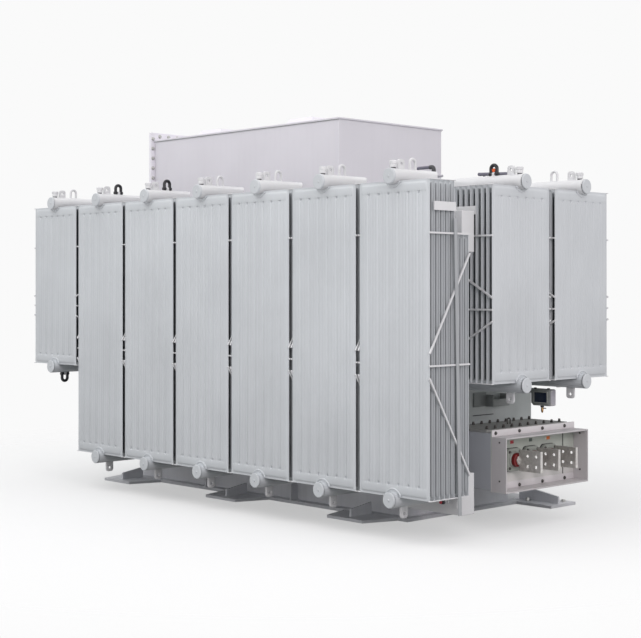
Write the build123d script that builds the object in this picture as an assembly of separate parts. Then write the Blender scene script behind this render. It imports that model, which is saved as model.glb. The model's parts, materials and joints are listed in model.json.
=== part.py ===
from build123d import *
import os

# Power transformer with panel radiators, in millimetres. X runs along the tank towards
# the low-voltage end, Y from the front radiator bank to the rear one, Z up from the floor.
# The origin is on the floor, in the middle of the overall box.

# Panel radiators
panel_width = 520
panel_count = 9
panel_thickness = 12
stack_depth = 327
panel_top = 1964
tall_bottom = 250
short_bottom = 845
outer_panels = 6
inner_panel_drop = 292
edge_bevel = 9
flute_count = 7
seam_width = 16
seam_depth = 5
seam_end = 64
corner_cut = 14
header_diameter = 89
pipe_sides = 8
header_rise = 26
header_sink = 16
cap_reach = 35
header_clearance = 13

# Radiator banks
radiators_per_side = 7
radiator_spacing = 32
rear_offset = -40
end_spacing = 56.5
end_face_setback = 8

# Upper collectors of the tall radiators, and ducts to those that overhang the tank
collector_depth = 105
collector_height = 230
collector_gap = 58
collector_margin = 100
lower_duct_drop = 112
lower_duct_overlap = 120
upper_collector_drop = 88
neck_length = 57
neck_diameter = 90
neck_count = 3
neck_inset = 200

# Braces on the sides of the radiators
brace_bar = 10
brace_clearance = 0.3
tie_upper_drop = 287
tall_tie_drop = 996
short_tie_drop = 702
brace_spread = 66
tall_brace_rise = 540
short_brace_rise = 110
short_brace_run = 190
rail_width = 25
rail_thickness = 6
rail_setback = 187
rail_lean = 36
rail_top_drop = 204
rail_overrun = 97
strap_thickness = 8
strap_height = 48
strap_drop = 118
strap_setback = 36
end_strap_setback = 124
strap_length = 176

# Tank, cover and base
tank_overhang_left = 175
tank_end_gap = 38
tank_side_inset = 3.25
tank_top = 1880
cover_thickness = 20
cover_overhang = 30
base_inset_left = 226
base_inset_right = 75
base_inset_side = 8.5
base_height = 200
flange_thickness = 20
flange_reach = 60
stiffener_thickness = 16
stiffener_spacing = 867

# Feet
foot_width = 300
foot_flare = 75
foot_length = 226
foot_thickness = 18
foot_count = 3
foot_end_inset = 152.5
foot_clearance = 18.5
gusset_thickness = 16
gusset_inset = 50
gusset_end_height = 45
gusset_slope = 0.15
end_foot_length = 275
end_foot_inset = 44
end_foot_reach = 212
end_foot_return = 60
end_gusset_offset = 65

# Enclosure on the cover
enclosure_from_left = 632
enclosure_length = 1903
enclosure_width = 969
enclosure_top = 2457
lid_thickness = 12
lid_overhang = 8
end_flange_thickness = 24
end_flange_reach = 34
end_flange_rise = 55
hatch_length = 260
hatch_width = 200
hatch_height = 46
hatch_draft = 25
hatch_pitch = 930
hatch_setback = 200

# Low-voltage terminal box on the right end
lv_width = 787
lv_bottom = 217
lv_frame_height = 315
lv_frame_depth = 105
lv_frame_wall = 8
lv_front_setback = 41
back_panel_thickness = 6
trunk_inset = 9
trunk_height = 326
trunk_lid_length = 290
trunk_lid_thickness = 16
trunk_lid_setback = 44
trunk_lid_inset = 10
strip_height = 38
bushing_pitch = 167.5
bushing_offset = -212
bushing_height = 173
bushing_plate = 132
bushing_plate_thickness = 14
bushing_plate_cut = 20
insulator_diameter = 81
insulator_length = 22
insulator_sides = 12
stem_diameter = 46
stem_length = 29
flag_reach = 71
flag_thickness = 20
flag_height = 122
flag_hole_diameter = 17
flag_hole_spacing = 60
flag_hole_edge = 31

# Gauge beside the terminal box
gauge_width = 143
gauge_depth = 60
gauge_height = 100
gauge_bottom = 674
gauge_offset = 168
gauge_setback = 159
gauge_cut = 16
gauge_arm_height = 30
gauge_arm_thickness = 8

# Places worked out from the sizes above
radiator_pitch = panel_width + radiator_spacing
bank_length = (radiators_per_side - 1) * radiator_pitch + panel_width
tank_inset_right = radiator_pitch + tank_end_gap
tank_length = bank_length - tank_overhang_left - tank_inset_right
rail_reach = brace_clearance + brace_bar + rail_thickness
tank_middle = (rail_reach - rear_offset - flag_reach) / 2
tank_left = tank_middle - tank_length / 2
tank_right = tank_middle + tank_length / 2
bank_left = tank_left - tank_overhang_left
bank_right = tank_right + tank_inset_right
panel_pitch = (stack_depth - panel_thickness) / (panel_count - 1)
collector_front = stack_depth + collector_gap
tank_depth = collector_front + collector_depth + neck_length
tank_half_width = panel_width + end_spacing / 2 - tank_side_inset
face_y = -(tank_half_width + tank_depth)
inner_panel_top = panel_top - inner_panel_drop
header_top = panel_top + header_rise
header_entry = inner_panel_top + header_clearance + header_diameter / 2
tall_low = tall_bottom - header_sink
short_low = short_bottom - header_sink
end_face_x = bank_right - end_face_setback
end_depth = end_face_x - tank_right
cover_top = tank_top + cover_thickness
upper_collector_bottom = inner_panel_top - upper_collector_drop
lower_duct_bottom = tall_low - lower_duct_drop
base_left = tank_left + base_inset_left
base_right = tank_right - base_inset_right
base_half_width = tank_half_width - base_inset_side
foot_left = base_left + foot_end_inset
foot_right = base_right - end_foot_return - foot_clearance - foot_flare - foot_width / 2
foot_middle = (foot_left + foot_right) / 2
foot_pitch = (foot_right - foot_left) / (foot_count - 1)
lv_front = bank_right - lv_front_setback
lv_back = lv_front - lv_frame_depth
bushing_z = lv_bottom + bushing_height
flag_root = lv_back + bushing_plate_thickness + insulator_length + stem_length


def block(x0, x1, y0, y1, z0, z1):
    """Box between two opposite corners."""
    return Pos(x0, y0, z0) * Box(x1 - x0, y1 - y0, z1 - z0, align=(Align.MIN, Align.MIN, Align.MIN))


def ring_outline(diameter, sides):
    """Regular polygon, a given diameter across its flats, that stands for a circle."""
    return RegularPolygon(diameter / 2, sides, major_radius=False, rotation=180 / sides)


def pipe(start, end, diameter, sides=pipe_sides):
    """Straight pipe or round bar between two points, with a few flat sides."""
    path = Edge.make_line(start, end)
    return extrude(Plane(origin=start, z_dir=path % 0) * ring_outline(diameter, sides), amount=path.length)


def rear(piece):
    """The same piece turned half round for the rear side, a little further to the left."""
    return Pos(2 * tank_middle + rear_offset, 0, 0) * Rot(0, 0, 180) * piece


def repeated(spots, outline):
    """One sketch with a copy of an outline at every spot of a pattern."""
    return Sketch() + [spot * outline for spot in spots]


# Panel radiators: the face looks along -Y at y = 0 and the header pipes run along Y


def outer_panel(bottom):
    """Front panel: seam valleys part its flutes and end short of the flat header zones."""
    sheet = block(-panel_width / 2, panel_width / 2, 0, panel_thickness, bottom, panel_top)
    sheet = chamfer(sheet.edges().filter_by(Axis.Y), corner_cut)
    half = seam_width / 2
    valley = make_face(Polyline((-half, 0), (half, 0), (0, seam_depth), close=True))
    valleys = repeated(GridLocations(panel_width / flute_count, 0, flute_count - 1, 1), valley)
    length = panel_top - bottom - 2 * seam_end
    return sheet - Pos(0, 0, bottom + seam_end) * extrude(valleys, amount=length)


def inner_panel(bottom, top, y):
    """Panel behind the front one: its front sheet swells from the welded edges of a flat rear sheet."""
    half = panel_width / 2
    back = y + panel_thickness
    swollen = half - edge_bevel
    outline = Polyline((-half, back), (-swollen, y), (swollen, y), (half, back), close=True)
    return Pos(0, 0, bottom) * extrude(make_face(outline), amount=top - bottom)


def bent_pipe(start_y, drop_y, wall_y):
    """Top header pipe: it runs along Y, turns down and enters the wall behind the panels."""
    start = (0, start_y, header_top)
    path = Polyline(start, (0, drop_y, header_top), (0, drop_y, header_entry), (0, wall_y, header_entry))
    section = Plane(origin=start, z_dir=(0, 1, 0)) * ring_outline(header_diameter, pipe_sides)
    return sweep(section, path, transition=Transition.RIGHT)


def panel_stack(bottom, full_panels):
    """Fluted front panel and the panels behind it; those behind the full ones stop lower."""
    panels = [outer_panel(bottom)]
    for index in range(1, panel_count):
        top = panel_top if index < full_panels else inner_panel_top
        panels.append(inner_panel(bottom, top, index * panel_pitch))
    return panels


def tall_radiator(low_end):
    """Radiator whose top header bends down to the collector; its low header runs back to low_end."""
    panels_end = (outer_panels - 1) * panel_pitch + panel_thickness
    body = bent_pipe(-cap_reach, (panels_end + collector_front) / 2, collector_front)
    body += pipe((0, -cap_reach, tall_low), (0, low_end, tall_low), header_diameter)
    return body + panel_stack(tall_bottom, outer_panels)


def short_radiator():
    """Radiator with panels of one height between two straight headers."""
    body = pipe((0, -cap_reach, header_top), (0, stack_depth, header_top), header_diameter)
    body += pipe((0, -cap_reach, short_low), (0, stack_depth, short_low), header_diameter)
    return body + panel_stack(short_bottom, panel_count)


def tank_pipes(wall_y):
    """The two pipes from a short radiator's headers to the tank wall."""
    lower = pipe((0, stack_depth, short_low), (0, wall_y, short_low), header_diameter)
    return [bent_pipe(stack_depth, (stack_depth + wall_y) / 2, wall_y), lower]


def bank_x(index):
    """Middle of a radiator in the front or rear bank, counted from the left end."""
    return bank_left + panel_width / 2 + index * radiator_pitch


# Collectors and ducts


def collector(left, bottom, neck_z, neck_places):
    """Box-section oil duct behind the tall radiators, with necks to the tank wall."""
    front = face_y + collector_front
    back = front + collector_depth
    duct = block(left, bank_right - collector_margin, front, back, bottom, bottom + collector_height)
    for x in neck_places:
        duct += pipe((x, back, neck_z), (x, -tank_half_width, neck_z), neck_diameter)
    return duct


# Braces


def bar_between(start, end):
    """Square bar in the plane of a radiator's side, from one (depth, height) point to another."""
    line = Edge.make_line((*start, 0), (*end, 0))
    turn = line.tangent_angle_at(0)
    middle = line @ 0.5
    return Pos(0, middle.X, middle.Y) * Rot(turn, 0, 0) * Box(brace_bar, line.length, brace_bar)


def braces(mid_drop, rise, run, strap_start):
    """Ties across the panel edges, two sloping bars and a strap, on a radiator's right side."""
    upper = panel_top - tie_upper_drop
    mid = panel_top - mid_drop
    high = mid + brace_spread
    low = mid - brace_spread
    bars = [bar_between((0, upper), (stack_depth, upper)), bar_between((0, mid), (stack_depth, mid))]
    bars += [bar_between((0, high), (run, high + rise)), bar_between((0, low), (run, low - rise))]
    strap_bottom = panel_top - strap_drop - strap_height
    inner = panel_width / 2 + brace_clearance
    strap = block(inner, inner + strap_thickness, strap_start, strap_start + strap_length,
                  strap_bottom, strap_bottom + strap_height)
    return [Pos(inner + brace_bar / 2, 0, 0) * bar for bar in bars] + [strap]


def side_rail():
    """Flat rail down the open side of the last radiator, on its ties, leaning a little."""
    inner = bank_right + brace_clearance + brace_bar
    high = face_y + rail_setback
    low = high + rail_lean
    top = panel_top - rail_top_drop
    bottom = tall_bottom - rail_overrun
    outline = Polyline(
        (high, top),
        (high + rail_width, top),
        (low + rail_width, bottom),
        (low, bottom),
        close=True,
    )
    return Pos(inner, 0, 0) * extrude(Plane.YZ * make_face(outline), amount=rail_thickness)


# Tank and base


def base_frame():
    """Beam frame under the tank: flanges top and bottom, a set-back web and stiffeners."""
    edge = base_half_width
    frame = block(base_left, base_right, -edge, edge, 0, flange_thickness)
    frame += block(base_left, base_right, -edge, edge, base_height - flange_thickness, base_height)
    web = edge - flange_reach
    frame += block(base_left + flange_reach, base_right - flange_reach, -web, web, 0, base_height)
    half = stiffener_thickness / 2
    for x in (foot_middle - stiffener_spacing / 2, foot_middle + stiffener_spacing / 2):
        frame += block(x - half, x + half, -edge, edge, 0, base_height)
    return frame


def foot():
    """Foot that points along -Y from y = 0: a flared plate with a sloping gusset on it."""
    half = foot_width / 2
    outline = Polyline(
        (-half - foot_flare, 0),
        (-half, -foot_length),
        (half, -foot_length),
        (half + foot_flare, 0),
        close=True,
    )
    plate = extrude(make_face(outline), amount=foot_thickness)
    return plate + gusset(foot_thickness, -foot_length + gusset_inset, 0)


def end_foot():
    """Plate round the base's rear right corner, with a gusset along it beside the rear beam."""
    corner_x, corner_y = base_right, base_half_width
    outline = Polyline(
        (corner_x, corner_y),
        (corner_x, corner_y - end_foot_inset),
        (corner_x + end_foot_length, corner_y - end_foot_inset),
        (corner_x + end_foot_length, corner_y + end_foot_reach),
        (corner_x - end_foot_return, corner_y + end_foot_reach),
        (corner_x - end_foot_return, corner_y),
        close=True,
    )
    plate = extrude(make_face(outline), amount=foot_thickness)
    web = Rot(0, 0, 90) * gusset(foot_thickness, -end_foot_length + gusset_inset / 2, end_foot_return)
    return plate + Pos(corner_x, corner_y + end_gusset_offset, 0) * web


def gusset(bottom, outer, inner):
    """Upright plate in the YZ plane whose top edge rises from its outer end."""
    rise = (inner - outer) * gusset_slope
    outline = Polyline(
        (outer, bottom),
        (inner, bottom),
        (inner, bottom + gusset_end_height + rise),
        (outer, bottom + gusset_end_height),
        close=True,
    )
    return extrude(Plane.YZ * make_face(outline), amount=gusset_thickness / 2, both=True)


# Enclosure on the cover

enclosure_left = bank_left + enclosure_from_left
enclosure_right = enclosure_left + enclosure_length
enclosure_half = enclosure_width / 2
enclosure_wall_top = enclosure_top - lid_thickness


def hatches():
    """Two low covers with sloping sides on the lid, towards its front edge."""
    outlines = repeated(GridLocations(hatch_pitch, 0, 2, 1), Rectangle(hatch_length, hatch_width))
    middle = (enclosure_left + enclosure_right) / 2
    spot = Pos(middle, hatch_setback - enclosure_half, enclosure_top)
    return spot * extrude(outlines, amount=hatch_height, taper=hatch_draft)


# Low-voltage terminal box

lv_half = lv_width / 2
lv_top = lv_bottom + lv_frame_height
trunk_bottom = lv_bottom + trunk_inset
trunk_top = trunk_bottom + trunk_height


def lv_frame():
    """Open-fronted surround of the terminals."""
    outer = block(lv_back, lv_front, -lv_half, lv_half, lv_bottom, lv_top)
    wall = lv_frame_wall
    half = lv_half - wall
    return outer - block(lv_back, lv_front, -half, half, lv_bottom + wall, lv_top - wall)


def bushing():
    """Flange plate, insulator ring and stem, about the X axis from x = 0."""
    outline = Rectangle(bushing_plate, bushing_plate)
    outline = chamfer(outline.vertices(), bushing_plate_cut)
    plate = extrude(Plane.YZ * outline, amount=bushing_plate_thickness)
    ring_end = bushing_plate_thickness + insulator_length
    ring = pipe((bushing_plate_thickness, 0, 0), (ring_end, 0, 0), insulator_diameter, insulator_sides)
    stem = pipe((ring_end, 0, 0), (ring_end + stem_length, 0, 0), stem_diameter)
    return plate + ring + stem


def flag():
    """Terminal flag with four bolt holes, upright in the XZ plane, its tip at x = 0."""
    length = bank_right + flag_reach - flag_root
    plate = block(-length, 0, -flag_thickness / 2, flag_thickness / 2, -flag_height / 2, flag_height / 2)
    middle = -flag_hole_edge - flag_hole_spacing / 2
    spots = GridLocations(flag_hole_spacing, flag_hole_spacing, 2, 2)
    holes = repeated(spots, Circle(flag_hole_diameter / 2))
    return plate - extrude(Plane.XZ * Pos(middle, 0) * holes, amount=flag_thickness / 2, both=True)


def gauge():
    """Instrument case with a bracket arm behind it from the tank's end wall."""
    right = bank_right - gauge_setback
    back = gauge_offset + gauge_depth
    top = gauge_bottom + gauge_height
    case = block(right - gauge_width, right, gauge_offset, back, gauge_bottom, top)
    case = chamfer(case.edges().filter_by(Axis.Y), gauge_cut)
    arm = block(tank_right, right - gauge_width / 2, back, back + gauge_arm_thickness,
                top - gauge_arm_height, top)
    return case + arm


nodes = {}

nodes["tank_body"] = block(tank_left, tank_right, -tank_half_width, tank_half_width, base_height, tank_top)
nodes["tank_cover"] = block(tank_left - cover_overhang, tank_right + cover_overhang,
                            -tank_half_width - cover_overhang, tank_half_width + cover_overhang,
                            tank_top, cover_top)
nodes["base_frame"] = base_frame()

side_names = ["left", "middle", "right"]
for name, spot in zip(side_names, GridLocations(foot_pitch, 0, foot_count, 1)):
    x = foot_middle + spot.position.X
    nodes[f"front_foot_{name}"] = Pos(x, -base_half_width, 0) * foot()
    nodes[f"rear_foot_{name}"] = Pos(x, base_half_width, 0) * Rot(0, 0, 180) * foot()
nodes["end_foot"] = end_foot()

short_model = short_radiator()
tall_model = tall_radiator(tank_depth)
overhung_model = tall_radiator(collector_front)
models = [short_model] + [tall_model] * (radiators_per_side - 2) + [overhung_model]
for index, model in enumerate(models):
    placed = Pos(bank_x(index), face_y, 0) * model
    nodes[f"front_radiator_{index + 1}"] = placed
    nodes[f"rear_radiator_{index + 1}"] = rear(placed)
front_pipes = [Pos(bank_x(0), face_y, 0) * piece for piece in tank_pipes(tank_depth)]
nodes["front_tank_pipes"] = Compound(children=front_pipes)
nodes["rear_tank_pipes"] = Compound(children=[rear(piece) for piece in front_pipes])

end_offset = (panel_width + end_spacing) / 2
end_spots = [Pos(end_face_x, y, 0) * Rot(0, 0, 90) for y in (-end_offset, end_offset)]
for number, spot in enumerate(end_spots, 1):
    nodes[f"end_radiator_{number}"] = spot * short_model
end_pipes = [spot * piece for spot in end_spots for piece in tank_pipes(end_depth)]
nodes["end_tank_pipes"] = Compound(children=end_pipes)

collector_left = bank_x(1) - panel_width / 2 + collector_margin
first_neck = collector_left + neck_inset
neck_pitch = (tank_right - neck_inset - first_neck) / (neck_count - 1)
neck_places = [first_neck + index * neck_pitch for index in range(neck_count)]
upper_neck = upper_collector_bottom + collector_height / 2
lower_neck = (base_height + lower_duct_bottom + collector_height) / 2
duct_left = tank_right - lower_duct_overlap
duct_neck = tank_right - lower_duct_overlap / 2
nodes["front_upper_collector"] = collector(collector_left, upper_collector_bottom, upper_neck, neck_places)
nodes["front_lower_duct"] = collector(duct_left, lower_duct_bottom, lower_neck, [duct_neck])
nodes["rear_upper_collector"] = rear(nodes["front_upper_collector"])
nodes["rear_lower_duct"] = rear(nodes["front_lower_duct"])

last_spot = Pos(bank_x(radiators_per_side - 1), face_y, 0)
tall_braces = braces(tall_tie_drop, tall_brace_rise, stack_depth, strap_setback)
front_braces = [last_spot * bar for bar in tall_braces]
nodes["front_braces"] = Compound(children=front_braces)
nodes["rear_braces"] = Compound(children=[rear(bar) for bar in front_braces])
short_braces = braces(short_tie_drop, short_brace_rise, short_brace_run, end_strap_setback)
end_braces = [end_spots[0] * mirror(bar, about=Plane.YZ) for bar in short_braces]
end_braces += [end_spots[1] * bar for bar in short_braces]
nodes["end_braces"] = Compound(children=end_braces)
nodes["front_side_rail"] = side_rail()
nodes["rear_side_rail"] = rear(side_rail())

nodes["top_enclosure"] = block(enclosure_left, enclosure_right, -enclosure_half, enclosure_half,
                               cover_top, enclosure_wall_top)
nodes["top_enclosure_lid"] = block(enclosure_left, enclosure_right + lid_overhang,
                                   -enclosure_half - lid_overhang, enclosure_half + lid_overhang,
                                   enclosure_wall_top, enclosure_top)
flange_half = enclosure_half + end_flange_reach
nodes["top_end_flange"] = block(enclosure_left - end_flange_thickness, enclosure_left,
                                -flange_half, flange_half, cover_top, enclosure_top + end_flange_rise)
nodes["top_hatches"] = hatches()

nodes["lv_trunk"] = block(tank_right, lv_back - back_panel_thickness, -lv_half, lv_half,
                          trunk_bottom, trunk_top)
lid_right = lv_back - trunk_lid_setback
nodes["lv_trunk_lid"] = block(lid_right - trunk_lid_length, lid_right,
                              -lv_half + trunk_lid_inset, lv_half - trunk_lid_inset,
                              trunk_top, trunk_top + trunk_lid_thickness)
nodes["lv_back_panel"] = block(lv_back - back_panel_thickness, lv_back, -lv_half, lv_half,
                               lv_bottom, lv_top + strip_height)
nodes["lv_frame"] = lv_frame()
flags = []
for number in range(1, 4):
    y = bushing_offset + (number - 1) * bushing_pitch
    nodes[f"lv_bushing_{number}"] = Pos(lv_back, y, bushing_z) * bushing()
    flags.append(Pos(bank_right + flag_reach, y, bushing_z) * flag())
nodes["lv_flags"] = Compound(children=flags)
nodes["gauge"] = gauge()

os.makedirs("parts", exist_ok=True)
for name, shape in nodes.items():
    export_step(shape, f"parts/{name}.step")
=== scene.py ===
import json
import math

import bmesh
import bpy
from mathutils import Matrix, Vector

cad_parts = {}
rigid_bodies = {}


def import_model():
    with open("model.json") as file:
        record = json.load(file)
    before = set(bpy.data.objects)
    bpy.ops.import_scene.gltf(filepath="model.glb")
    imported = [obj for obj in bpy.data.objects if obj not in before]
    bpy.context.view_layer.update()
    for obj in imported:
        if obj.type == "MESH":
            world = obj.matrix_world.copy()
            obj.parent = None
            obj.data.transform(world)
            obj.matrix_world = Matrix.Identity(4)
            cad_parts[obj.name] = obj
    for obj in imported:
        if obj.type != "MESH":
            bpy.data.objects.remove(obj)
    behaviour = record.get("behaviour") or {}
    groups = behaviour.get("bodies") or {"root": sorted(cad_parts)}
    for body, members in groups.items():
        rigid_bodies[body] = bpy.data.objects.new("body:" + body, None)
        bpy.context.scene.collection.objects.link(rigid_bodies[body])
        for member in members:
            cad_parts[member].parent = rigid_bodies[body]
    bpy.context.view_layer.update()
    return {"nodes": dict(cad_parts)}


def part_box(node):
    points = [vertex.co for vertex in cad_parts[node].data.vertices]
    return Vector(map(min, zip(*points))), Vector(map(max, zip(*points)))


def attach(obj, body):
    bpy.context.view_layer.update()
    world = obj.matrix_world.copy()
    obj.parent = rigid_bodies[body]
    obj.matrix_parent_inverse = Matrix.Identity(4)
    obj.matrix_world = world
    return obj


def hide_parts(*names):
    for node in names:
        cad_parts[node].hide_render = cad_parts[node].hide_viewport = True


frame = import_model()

cad_nodes = frame["nodes"]
scene = bpy.context.scene

# Radiators; all lengths are in metres
pipe_radius = 0.0445
pipe_sides = 40
cap_reach = 0.035
cap_overlap = 0.004
header_rise = 0.026
header_sink = 0.016
entry_gap = 0.013
panel_count = 9
full_panels = 6
panel_thickness = 0.012
inner_panel_drop = 0.292
panel_offset = 0.008
body_half = 0.008
inner_body_half = 0.0085
rim_half = 0.0018
rim_width = 0.009
swell_width = 0.014
panel_corner = 0.03

# Seams of a fluted panel: half width and depth of each kind, and what the tick at its ends adds to them
flute_count = 7
seams_per_flute = 3
seam_slots = flute_count * seams_per_flute
seam_end = 0.064
deep_seam, deep_tick = (0.0045, 0.0019), (0.006, 0.0085)
shallow_seam, shallow_tick = (0.0032, 0.0014), (0, 0.0016)
end_wall_start, end_wall_length = 0.004, 0.005
tick_length, tick_fade = 0.007, 0.008

# Grid lines of a panel: steps in from its edges, from the middle of each seam and from the seams' ends
rim_step, flat_start, line_gap = 0.002, 0.05, 0.001
swell_shares = (0.3, 0.5, 0.7, 1)
deep_columns, shallow_columns = (0, 0.0024, 0.0048, 0.0105), (0, 0.0035)
seam_rows = (-0.004, -0.0015, 0.001, 0.005, 0.009, 0.015)

# Places read from the frame: depths run from a radiator's face to its back
short_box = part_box("front_radiator_1")
tall_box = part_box("front_radiator_2")
stack_depth = short_box[1].y - short_box[0].y - cap_reach
panel_pitch = (stack_depth - panel_thickness) / (panel_count - 1)
panels_end = (full_panels - 1) * panel_pitch + panel_thickness
collector_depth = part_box("front_upper_collector")[0].y - tall_box[0].y - cap_reach
panel_half = (tall_box[1].x - tall_box[0].x) / 2
seam_pitch = 2 * panel_half / seam_slots
header_z = tall_box[1].z - pipe_radius
panel_top = header_z - header_rise
low_header = {False: tall_box[0].z + pipe_radius, True: short_box[0].z + pipe_radius}

# Colours, linear
light_grey = (0.59, 0.612, 0.635)
tank_grey = (0.48, 0.505, 0.5)
box_lilac = (0.695, 0.675, 0.72)
terminal_pink = (0.56, 0.535, 0.545)
panel_green = (0.495, 0.525, 0.475)
# Painted light: a paler low tone on the back panel and the heights it fades up between
panel_painted_low_light, panel_fade = (0.65, 0.63, 0.615), (0.28, 0.42)
# Painted shade: the dark tone deep between the fins
fin_shade = (0.028, 0.032, 0.04)


# Mesh helpers: a shape is a list of vertices and a list of faces


def grid_faces(rows, columns, closed=False):
    """Quads between the points of a grid listed row by row; closed joins the last column to the first."""
    faces = []
    for row in range(rows - 1):
        low, high = row * columns, (row + 1) * columns
        for column in range(columns if closed else columns - 1):
            after = (column + 1) % columns
            faces.append((low + column, low + after, high + after, high + column))
    return faces


def box(low, high, bevel=0.002):
    """Box between two corners with rounded edges."""
    work = bmesh.new()
    low, high = Vector(low), Vector(high)
    size = high - low
    bmesh.ops.create_cube(work, size=1, matrix=moved(*(low + high) / 2) @ Matrix.Diagonal((*size, 1)))
    if bevel:
        widest = min(size) * 0.45
        bmesh.ops.bevel(work, geom=work.edges[:], offset=min(bevel, widest), segments=2,
                        affect="EDGES", profile=0.5)
    work.verts.index_update()
    shape = [v.co.copy() for v in work.verts], [[v.index for v in face.verts] for face in work.faces]
    work.free()
    return shape


def arc(x, y, radius, start, end, steps):
    """Points of an arc about (x, y) from one angle to another, in degrees."""
    turns = [math.radians(start + (end - start) * step / steps) for step in range(steps + 1)]
    return [(x + radius * math.cos(turn), y + radius * math.sin(turn)) for turn in turns]


def circle(x, y, radius, sides):
    return arc(x, y, radius, 0, 360, sides)[:-1]


def skinned(verts, sides):
    """Skin over rings of points that are listed ring by ring, with a flat face on each end."""
    faces = [tuple(reversed(range(sides)))]
    faces += grid_faces(len(verts) // sides, sides, closed=True)
    faces.append(tuple(range(len(verts) - sides, len(verts))))
    return verts, faces


def lathe(profile, sides=24):
    """Solid turned about Z from (radius, height) points."""
    verts = [(x, y, height) for radius, height in profile for x, y in circle(0, 0, radius, sides)]
    return skinned(verts, sides)


def sweep(path, radius, sides=16):
    """Round bar along a path of points, mitred where it turns."""
    points = [Vector(point) for point in path]
    verts = []
    across = None
    for index, point in enumerate(points):
        into = (point - points[index - 1] if index else points[1] - point).normalized()
        out = (points[index + 1] - point).normalized() if index + 1 < len(points) else into
        along = (into + out).normalized()
        inward = (out - into).normalized()
        stretch = 1 / along.dot(out) - 1
        across = along.orthogonal() if across is None else across - along * across.dot(along)
        across.normalize()
        other = along.cross(across)
        for x, y in circle(0, 0, radius, sides):
            spoke = x * across + y * other
            verts.append(point + spoke + inward * spoke.dot(inward) * stretch)
    return skinned(verts, sides)


def rounded_path(corners, radius, steps=8):
    """The corners of a path in right angles, with a round bend at each inner one."""
    corners = [Vector(corner) for corner in corners]
    points = [corners[0]]
    for before, corner, after in zip(corners, corners[1:], corners[2:]):
        into, out = (corner - before).normalized(), (after - corner).normalized()
        centre = corner - into * radius + out * radius
        points += [centre + into * x + out * y for x, y in arc(0, 0, radius, -90, 0, steps)]
    return points + [corners[-1]]


def plate(outline, holes, thickness, bevel=0.001, hole_sides=20):
    """Flat plate in the XY plane, centred on it, from an outline and round holes as (x, y, radius)."""
    curve = bpy.data.curves.new("plate", "CURVE")
    curve.dimensions = "2D"
    curve.fill_mode = "BOTH"
    curve.extrude = thickness / 2 - bevel
    curve.bevel_depth = bevel
    curve.bevel_resolution = 1
    curve.offset = -bevel
    for loop in [outline] + [circle(*hole, hole_sides) for hole in holes]:
        spline = curve.splines.new("POLY")
        spline.points.add(len(loop) - 1)
        for point, (x, y) in zip(spline.points, loop):
            point.co = (x, y, 0, 1)
        spline.use_cyclic_u = True
    holder = bpy.data.objects.new("plate", curve)
    mesh = bpy.data.meshes.new_from_object(holder)
    shape = [v.co.copy() for v in mesh.vertices], [tuple(face.vertices) for face in mesh.polygons]
    bpy.data.batch_remove((holder, curve, mesh))
    return shape


def round_top(width, height, radius, steps=8):
    """Outline of an upright plate that stands on y = 0, with rounded upper corners."""
    half, x, y = width / 2, width / 2 - radius, height - radius
    points = [(-half, 0), (half, 0)]
    return points + arc(x, y, radius, 0, 90, steps) + arc(-x, y, radius, 90, 180, steps)


def rounded_square(size, radius, steps=6):
    half = size / 2 - radius
    points = []
    for corner, (x, y) in enumerate(((half, half), (-half, half), (-half, -half), (half, -half))):
        points += arc(x, y, radius, 90 * corner, 90 * corner + 90, steps)
    return points


class Mesh:
    """Shapes gathered into one mesh of a few materials, with an edge depth on each vertex."""

    def __init__(self, *materials):
        self.materials = materials
        self.verts, self.faces, self.marks, self.depths = [], [], [], []

    def add(self, shape, material=None, place=Matrix(), depths=None):
        """Adds a shape in one material, by default the first, or in a list with one for each face."""
        verts, faces = shape
        start = len(self.verts)
        self.verts += [place @ Vector(v) for v in verts]
        self.faces += [tuple(start + index for index in face) for face in faces]
        chosen = material if isinstance(material, list) else [material or self.materials[0]] * len(faces)
        self.marks += [self.materials.index(one) for one in chosen]
        self.depths += depths or [0.0] * len(verts)

    def data(self, name, sharp=35):
        """Blender mesh of the shapes, smooth up to the angle sharp."""
        mesh = bpy.data.meshes.new(name)
        mesh.from_pydata(self.verts, [], self.faces)
        for material in self.materials:
            mesh.materials.append(material)
        mesh.polygons.foreach_set("material_index", self.marks)
        if any(self.depths):
            mesh.attributes.new("edge_depth", "FLOAT", "POINT").data.foreach_set("value", self.depths)
        work = bmesh.new()
        work.from_mesh(mesh)
        bmesh.ops.remove_doubles(work, verts=work.verts[:], dist=1e-6)
        bmesh.ops.recalc_face_normals(work, faces=work.faces[:])
        work.to_mesh(mesh)
        work.free()
        mesh.shade_smooth()
        mesh.set_sharp_from_angle(angle=math.radians(sharp))
        return mesh


def new_object(name, data):
    obj = bpy.data.objects.new(name, data)
    scene.collection.objects.link(obj)
    return obj


def piece(name, mesh, place=Matrix(), replaces=()):
    """One object of the part, on its only body."""
    obj = new_object(name, mesh)
    obj.matrix_world = place
    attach(obj, "root")
    if replaces:
        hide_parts(*replaces)


def moved(x, y, z):
    return Matrix.Translation((x, y, z))


def spun(degrees, axis):
    return Matrix.Rotation(math.radians(degrees), 4, axis)


def turned(axis, origin):
    """Placement that sends +Z along an axis from an origin."""
    return moved(*origin) @ Vector(axis).to_track_quat("Z", "Y").to_matrix().to_4x4()


upright = spun(90, "Z") @ spun(90, "X")
hexagon = 6


# Materials


def new_material(name):
    material = bpy.data.materials.new(name)
    material.use_nodes = True
    tree = material.node_tree
    return material, tree, tree.nodes["Principled BSDF"]


def feed(socket, value):
    """Links a socket to another node's output, or gives it a value."""
    if isinstance(value, bpy.types.NodeSocket):
        socket.id_data.links.new(value, socket)
    else:
        socket.default_value = value


def set_inputs(node, **inputs):
    """Feeds the inputs of a node by their names, with _ for a space."""
    for name, value in inputs.items():
        feed(node.inputs[name.replace("_", " ")], value)


def add_node(tree, kind, **inputs):
    node = tree.nodes.new("ShaderNode" + kind)
    set_inputs(node, **inputs)
    return node


def position(tree):
    return add_node(tree, "NewGeometry").outputs["Position"]


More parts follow.
